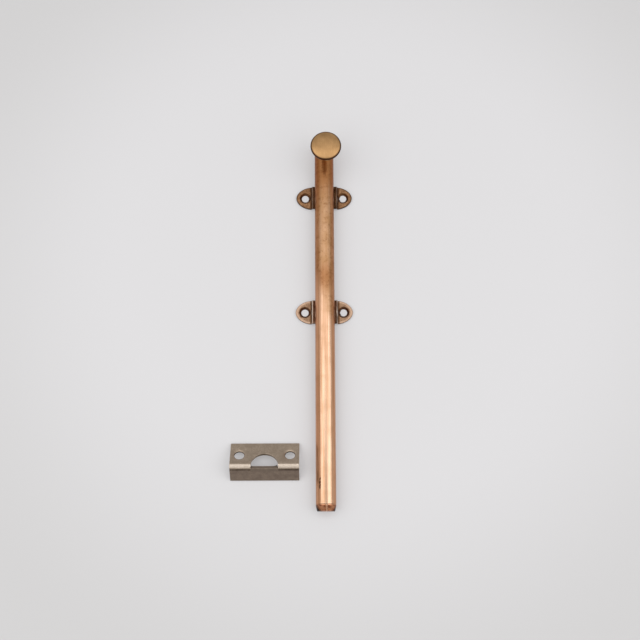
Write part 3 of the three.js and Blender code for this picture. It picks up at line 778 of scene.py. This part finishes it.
def makeNose(material):
    narrow, drop, length = nose["narrow"], nose["drop"], nose["taperLength"]
    shoulder, run, tip = nose["shoulder"], nose["shoulderRun"], nose["tipRound"]
    hair = 0.02 * mm
    shank = [(barX + x, barBack + z)
             for x, z in halfRound(barShape["sheet"] + nose["shankGap"], barShape["insideCorner"], 40)]
    rings = [[Vector((x, y, z)) for x, z in shank] for y in (noseY + plugSize.y, noseY + length + hair)]
    rings.append(noseRing(noseY + length, shoulder, shoulder))
    rings.append(noseRing(noseY + length - run, hair, hair))
    for i in range(1, nose["slopeSteps"] + 1):
        t = i / nose["slopeSteps"]
        y = noseY + length - run - t * (length - tip - run)
        ease = t * t * (1.6 - 0.6 * t)        # the slope starts gently and steepens
        rings.append(noseRing(y, narrow * ease, drop * (0.35 * t + 0.65 * ease)))
    for i in range(1, 6):
        turn = math.radians(90 * i / 5)
        inward = tip * (1 - math.cos(turn))
        rings.append(noseRing(noseY + tip * (1 - math.sin(turn)), narrow + inward, drop + inward))
    piece = loft("nose", rings)
    finish(piece, material, movingBody, "bar_brass", "nose_plug")


knobMiddle, knobSize, knobLow = nodeBox("knob")
knobShape = {
    "neck": 3.0 * mm,
    "neckFoot": 0.35 * mm,    # fillet that runs out on the crown
    "neckLength": 4.0 * mm,
    "flare": 0.4 * mm,        # the neck sweeps out under the cap
    "flareDrop": 1.6 * mm,
    "rim": 1.2 * mm,
    "dome": 1.9 * mm,
    "domeFullness": 0.64,     # share of the radius over which the cap stays nearly flat
    "sides": 128,
}


def curveTo(start, pull, end, steps):
    # points after start on a curve that is drawn towards pull on its way to end
    weights = [((1 - i / steps) ** 2, 2 * i / steps * (1 - i / steps), (i / steps) ** 2)
               for i in range(1, steps + 1)]
    return [tuple(u * a + v * b + w * c for a, b, c in zip(start, pull, end)) for u, v, w in weights]


def makeKnob(material):
    radius = knobSize.x / 2
    crown = barBack + barSize.z
    top = knobLow.z + knobSize.z
    widest = top - knobShape["dome"]
    rim = knobShape["rim"]
    neck = knobShape["neck"]
    base = crown + knobShape["neckLength"]
    foot = knobShape["neckFoot"]
    profile = [(0, crown), (neck + foot, crown)]
    for turn in (20, 45, 70, 90):
        a = math.radians(turn)
        profile.append((neck + foot * (1 - math.sin(a)), crown + foot * (1 - math.cos(a))))
    profile.append((neck, base))
    under = widest - rim
    profile += curveTo((neck, base), (neck + knobShape["flare"], under - knobShape["flareDrop"]),
                       (radius - rim, under), 12)
    profile += arc((radius - rim, widest), rim, -84, 66, 14)
    profile += curveTo(profile[-1], (radius * knobShape["domeFullness"], top), (0, top), 20)

    def ontoCrown(v):
        # the neck's foot is filed to the round of the bar
        if v.z > crown + 0.3 * mm:
            return v
        out = min(abs(v.x - barX), crownRadius * 0.98)
        drop = crownRadius - math.sqrt(crownRadius ** 2 - out ** 2)
        return Vector((v.x, v.y, v.z - drop))

    axis = Vector((knobMiddle.x, knobMiddle.y, 0))
    piece = revolve("knob", profile, axis, knobShape["sides"], ontoCrown)
    finish(piece, material, movingBody, "knob_brass", "knob")


guideShape = {
    "sheet": 1.2 * mm,
    "bendInner": 6.65 * mm,
    "bendOuter": 7.8 * mm,
    "bendShift": 0.27 * mm,   # the press tool stood a little to one side
    "earCentre": 7 * mm,
    "earRoundness": 1.87,     # 2 is an ellipse, less is more pointed
    "screwSpacing": 21.5 * mm,
    "hole": 1.95 * mm,
    "sink": 3.15 * mm,
    "bead": 0.28 * mm,        # the press leaves a bead along the top of each bend
    "beadAt": 6.9 * mm,
    "beadHalf": 0.28 * mm,
    "edge": 0.14 * mm,
}


def countersink(middle, top, bottom, depth):
    # a screw hole whose cone runs from its mouth, top, to its foot, bottom
    loop = arc(middle, top, 0, 352.5, 47)
    return {"loop": loop, "middle": middle, "top": top, "bottom": bottom, "depth": depth}


def makeBracket(prefix, material):
    middle, size, _ = nodeBox(prefix + "_guide_bracket")
    s = guideShape
    half, reach = size.y / 2, size.x / 2
    rise = size.z - s["sheet"]        # the bead stands a little over the platform, beside the bar
    power = 2 / s["earRoundness"]
    outline = []
    for side in (1, -1):
        for cosine, sine in arc((0, 0), 1, -90, 90, 40):
            out = s["earCentre"] + (reach - s["earCentre"]) * max(cosine, 0) ** power
            outline.append((side * out, side * half * math.copysign(abs(sine) ** power, sine)))
    spots = [(side * s["screwSpacing"] / 2, 0) for side in (-1, 1)]
    holes = [countersink(spot, s["sink"], s["hole"], s["sheet"]) for spot in spots]
    bends = 16
    first, last = s["beadAt"] - 3 * s["beadHalf"], s["bendOuter"] + 0.1 * mm
    cuts = [("x", s["bendShift"] + side * (first + i * (last - first) / bends))
            for side in (-1, 1) for i in range(bends + 1)]

    def place(x, y, depth):
        across = abs(x - s["bendShift"])
        pressed = smoothStep((s["bendOuter"] - across) / (s["bendOuter"] - s["bendInner"]))
        bead = math.exp(-((across - s["beadAt"]) / s["beadHalf"]) ** 2) * s["bead"] if depth == 0 else 0
        return Vector((middle.x + x, middle.y + y, s["sheet"] - depth + rise * pressed + bead))

    piece = pressedSheet(prefix + "Bracket", outline, holes, cuts, s["sheet"], place)
    roundEdges(piece, s["edge"])
    finish(piece, material, fixedBody, "guide_brass", prefix + "_guide_bracket")


springShape = {
    "sheet": 0.4 * mm,
    "corner": 0.6 * mm,
    "tipLength": 3 * mm,
    "tipDrop": 0.8 * mm,
    "edge": 0.06 * mm,
}


def makeSpring(prefix, material):
    middle, size, low = nodeBox(prefix + "_guide_spring")
    shoeMiddle, shoeSize, _ = nodeBox(prefix + "_guide_shoe")
    toward = 1 if middle.y > shoeMiddle.y else -1
    flat, reach = shoeSize.y / 2, size.y - shoeSize.y / 2
    sheet, corner = springShape["sheet"], springShape["corner"]
    top = size.z - sheet

    def height(along):
        # flat under the rivets, then bowed up to the bar, with its tip turned down again
        bow = reach - springShape["tipLength"]
        if along < flat:
            return 0.0
        if along < bow:
            return top * smoothStep((along - flat) / (bow - flat))
        return top - springShape["tipDrop"] * ((along - bow) / (reach - bow)) ** 2

    half = size.x / 2
    outline = arc((half - corner, reach - corner), corner, 0, 90, 6)
    outline += arc((-half + corner, reach - corner), corner, 90, 180, 6)
    outline += [(-half, -flat), (half, -flat)]
    cuts = [("y", flat + (reach - flat) * i / 30) for i in range(30)]

    def place(x, y, depth):
        return Vector((middle.x + x * toward, shoeMiddle.y + toward * y, low.z + height(y) + sheet - depth))

    piece = pressedSheet(prefix + "Spring", outline, [], cuts, sheet, place)
    roundEdges(piece, springShape["edge"], segments=2)
    finish(piece, material, fixedBody, "spring_bronze", prefix + "_guide_spring")


rivets = {
    "sides": 40,
    "shank": 1 * mm,
    "tailHeight": 0.8 * mm,   # the tail sits in the back of the bracket
    "tailRound": 0.2 * mm,
    "tailDish": 0.12 * mm,
    "headHeight": 0.6 * mm,
}


def rivetTree(material):
    # one rivet on every point it is given
    tree = bpy.data.node_groups.new("rivets", "GeometryNodeTree")
    tree.interface.new_socket("Geometry", in_out="OUTPUT", socket_type="NodeSocketGeometry")
    for label, kind in (("Places", "Object"), ("Rivet", "Object")):
        tree.interface.new_socket(label, in_out="INPUT", socket_type="NodeSocket" + kind)
    given = addNode(tree, "NodeGroupInput").outputs
    places = addNode(tree, "GeometryNodeObjectInfo", inputs={"Object": given["Places"]})
    rivet = addNode(tree, "GeometryNodeObjectInfo", inputs={"Object": given["Rivet"], "As Instance": True})
    points = addNode(tree, "GeometryNodeMeshToPoints", inputs={"Mesh": places.outputs["Geometry"]})
    copies = addNode(tree, "GeometryNodeInstanceOnPoints", inputs={
        "Points": points.outputs[0], "Instance": rivet.outputs["Geometry"]})
    solid = addNode(tree, "GeometryNodeRealizeInstances", inputs={"Geometry": copies.outputs[0]})
    coloured = addNode(tree, "GeometryNodeSetMaterial", inputs={
        "Geometry": solid.outputs[0], "Material": material})
    addNode(tree, "NodeGroupOutput", inputs={"Geometry": coloured.outputs[0]})
    return tree


def makeRivets(material):
    names = [f"{prefix}_guide_{end}_rivet" for prefix in ("lower", "upper") for end in ("front", "rear")]
    boxes = [nodeBox(name) for name in names]
    size, low = boxes[0][1], boxes[0][2]
    head, shank = size.x / 2, rivets["shank"]
    tail, top = low.z, low.z + size.z
    dish, soft, high = rivets["tailDish"], rivets["tailRound"], rivets["headHeight"]
    neckLow, neckTop = tail + rivets["tailHeight"], top - high
    profile = [(0, tail + dish), (head * 0.55, tail + dish * 0.6)]
    profile += arc((head - soft, tail + soft), soft, -90, 0, 4)
    profile += [(head, neckLow), (shank, neckLow), (shank, neckTop), (head, neckTop)]
    for turn in (12, 25, 40, 55, 70, 82):
        a = math.radians(turn)
        profile.append((head * math.cos(a), neckTop + high * math.sin(a)))
    profile.append((0, top))
    pattern = revolve("rivetPattern", profile, Vector((0, 0, 0)), rivets["sides"])
    spots = meshPiece("rivetPlaces", [(middle.x, middle.y, 0) for middle, _, _ in boxes], [])
    host = bpy.data.objects.new("rivetHost", bpy.data.meshes.new("rivetHost"))
    bpy.context.scene.collection.objects.link(host)
    modifier = host.modifiers.new("rivets", "NODES")
    modifier.node_group = rivetTree(material)
    setInputs(modifier, {"Places": spots, "Rivet": pattern})
    piece = bakeNodes("rivets", host)
    for spare in (pattern, spots):
        bpy.data.objects.remove(spare)
    finish(piece, material, fixedBody, "inner_brass", *names)


strikeShape = {
    "sheet": 1.3 * mm,
    "flange": 16.4 * mm,
    "lip": 11.2 * mm,
    "bend": 3.0 * mm,
    "notch": 7.2 * mm,
    "notchDepth": 9.05 * mm,
    "holeSpacing": 27 * mm,
    "holeFromBend": 8.5 * mm,
    "hole": 2.65 * mm,
    "sink": 3.75 * mm,
    "sinkDepth": 0.6 * mm,
    "notchFall": 1.6 * mm,    # how far the notch is cut down the front of the bend
    "notchCorner": 0.3 * mm,
    "edge": 0.12 * mm,
}


def makeStrike(material):
    middle, size, low = nodeBox("strike_plate")
    s = strikeShape
    lean = math.atan2(s["lip"] - s["sheet"], s["flange"] - s["sheet"])
    ridge = s["flange"] * math.sin(lean) + s["sheet"] * math.cos(lean)
    # the flange's far lower edge is the piece's highest y
    corner = low.y + s["lip"] * math.sin(lean)
    turned = Matrix.Rotation(-lean, 4, "X")
    half = size.x / 2
    arcLength = s["bend"] * math.pi / 2
    outline = [(-half, -arcLength - s["lip"] + s["bend"]), (half, -arcLength - s["lip"] + s["bend"]),
               (half, s["flange"] - s["bend"]), (-half, s["flange"] - s["bend"])]
    spring = s["notchDepth"] - s["bend"] - s["notch"]
    notchEnd = -s["bend"] * math.acos(1 - s["notchFall"] / s["bend"])
    notch = arc((0, spring), s["notch"], 0, 180, 48) + [(-s["notch"], notchEnd), (s["notch"], notchEnd)]
    holes = [{"loop": notch}]
    for side in (-1, 1):
        spot = (side * s["holeSpacing"] / 2, s["holeFromBend"] - s["bend"])
        holes.append(countersink(spot, s["sink"], s["hole"], s["sinkDepth"]))
    bends = 18
    inNotch = s["notch"] - s["notchCorner"]
    cuts = [("y", -arcLength * i / bends) for i in range(bends + 1)]
    cuts += [("x", inNotch * i / 3) for i in range(-3, 4)]
    # the end of the notch is cut level with the flange, so inside the bend it starts further round
    inner = s["bend"] - s["sheet"]
    levelTurn = -notchEnd / s["bend"] - math.acos((s["bend"] - s["notchFall"]) / inner)
    levelFade = arcLength + notchEnd

    def place(x, y, depth):
        if y >= 0:
            flat = Vector((x, s["bend"] + y, -depth))
        elif y > -arcLength:
            a = -y / s["bend"]
            r = s["bend"] - depth
            if depth > 0 and abs(x) <= inNotch + 1e-6 and y <= notchEnd + 1e-6:
                a -= levelTurn * (1 - (notchEnd - y) / levelFade)
            flat = Vector((x, s["bend"] - r * math.sin(a), -s["bend"] + r * math.cos(a)))
        else:
            flat = Vector((x, depth, -s["bend"] + y + arcLength))
        return turned @ flat + Vector((middle.x, corner, ridge))

    piece = pressedSheet("strike", outline, holes, cuts, s["sheet"], place)
    roundEdges(piece, s["edge"])
    finish(piece, material, fixedBody, "strike_steel", "strike_plate")


drawn = drawnBrass("drawnBrassBar", barFinish)
turned = turnedBrass("turnedBrassKnob", knobFinish, (knobMiddle.x, knobMiddle.y, 0), knobSize.x / 2)
guideBrass = {"lower": pressedMetal("rubbedAntiqueBrass", guideFinish),
              "upper": pressedMetal("darkAntiqueBrass", upperGuideFinish)}
tumbledSteel = pressedMetal("tumbledSteel", strikeFinish)
cutBrass = pressedMetal("cutBrass", innerFinish)
springBronze = pressedMetal("springBronze", springFinish)

makeBar(drawn)
makeNose(drawn)
print("bar and nose made")
makeKnob(turned)
print("knob made")
for prefix in ("lower", "upper"):
    makeBracket(prefix, guideBrass[prefix])
    makeSpring(prefix, springBronze)
makeRivets(cutBrass)
print("guides made")
makeStrike(tumbledSteel)
print("strike made")
for name in ("nose_pin", "head_block", "lower_guide_shoe", "upper_guide_shoe"):
    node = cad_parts[name]
    node.data.materials.clear()
    node.data.materials.append(cutBrass)


studio = {
    "floor": "#ABAAAB",
    "floorCornerShade": "#A1A0A0",
    "floorMiddle": (0.03, 0.04, 0),    # where the board is painted brightest
    "floorShadeFrom": 0.12,
    "floorShadeTo": 0.26,
    "floorDrop": 0.05 * mm,   # just under the pieces that rest on it
    "floorGlow": 0.62,        # the floor glows a little: painted light that softens the shadows on it
    "floorSize": 3.0,
    "world": "#FFFFFF",
    "worldStrength": 0.6,
    "lightHeight": 0.9,
    "radiance": 1.5,
    "softboxes": {
        "leftSoftbox": {"x": (-1.6, -0.18), "y": (-0.9, 0.10)},
        "rightSoftbox": {"x": (0.31, 2.0), "y": (-0.9, 0.10)},
        "rearSoftbox": {"x": (-1.6, 2.0), "y": (0.10, 0.42)},
    },
}


def makeFloor():
    half, under = studio["floorSize"] / 2, -studio["floorDrop"]
    corners = [(-half, -half, under), (half, -half, under), (half, half, under), (-half, half, under)]
    floor = meshPiece("floor", corners, [(0, 1, 2, 3)], smooth=False)
    material, tree, shader, coords = newMaterial("paleBoard")
    shader.inputs["Metallic"].default_value = 0.0
    shader.inputs["Roughness"].default_value = 0.85
    # painted shade: the board's colour darkens a little towards its corners, away from the light
    fromMiddle = addNode(tree, "ShaderNodeVectorMath", {"operation": "DISTANCE"}, {
        0: coords, 1: studio["floorMiddle"]}).outputs["Value"]
    shade = addNode(tree, "ShaderNodeMapRange", {"interpolation_type": "SMOOTHSTEP"}, {
        "Value": fromMiddle, "From Min": studio["floorShadeFrom"],
        "From Max": studio["floorShadeTo"]}).outputs["Result"]
    colour = addNode(tree, "ShaderNodeMix", {"data_type": "RGBA"}, {
        "Factor": shade, 6: linear(studio["floor"]), 7: linear(studio["floorCornerShade"])}).outputs[2]
    tree.links.new(colour, shader.inputs["Base Color"])
    tree.links.new(colour, shader.inputs["Emission Color"])
    shader.inputs["Emission Strength"].default_value = studio["floorGlow"]
    floor.data.materials.append(material)


def makeLight(name, spec):
    data = bpy.data.lights.new(name, "AREA")
    data.shape = "RECTANGLE"
    wide, deep = spec["x"][1] - spec["x"][0], spec["y"][1] - spec["y"][0]
    data.size, data.size_y = wide, deep
    data.energy = studio["radiance"] * math.pi * wide * deep
    light = bpy.data.objects.new(name, data)
    light.location = (sum(spec["x"]) / 2, sum(spec["y"]) / 2, studio["lightHeight"])
    bpy.context.scene.collection.objects.link(light)


def makeCamera():
    view = {
        "fromBar": (-2.75 * mm, -42.5 * mm, 536.8 * mm),   # measured from the nose's tip
        "tilt": 15.4,
        "roll": -0.26,
        "lens": 56.25,
    }
    data = bpy.data.cameras.new("camera")
    data.lens = view["lens"]
    data.sensor_width = 36
    data.clip_start = 0.01
    camera = bpy.data.objects.new("camera", data)
    bpy.context.scene.collection.objects.link(camera)
    spot = Vector(view["fromBar"]) + Vector((barX, noseY, 0))
    tilt = Matrix.Rotation(math.radians(view["tilt"]), 4, "X")
    roll = Matrix.Rotation(math.radians(view["roll"]), 4, "Z")
    camera.matrix_world = Matrix.Translation(spot) @ tilt @ roll
    bpy.context.scene.camera = camera


makeFloor()
for name, spec in studio["softboxes"].items():
    makeLight(name, spec)
world = bpy.data.worlds.new("studio")
bpy.context.scene.world = world
world.use_nodes = True
world.node_tree.nodes["Background"].inputs["Color"].default_value = linear(studio["world"])
world.node_tree.nodes["Background"].inputs["Strength"].default_value = studio["worldStrength"]
bpy.context.scene.view_settings.view_transform = "Standard"
makeCamera()
print("studio made")
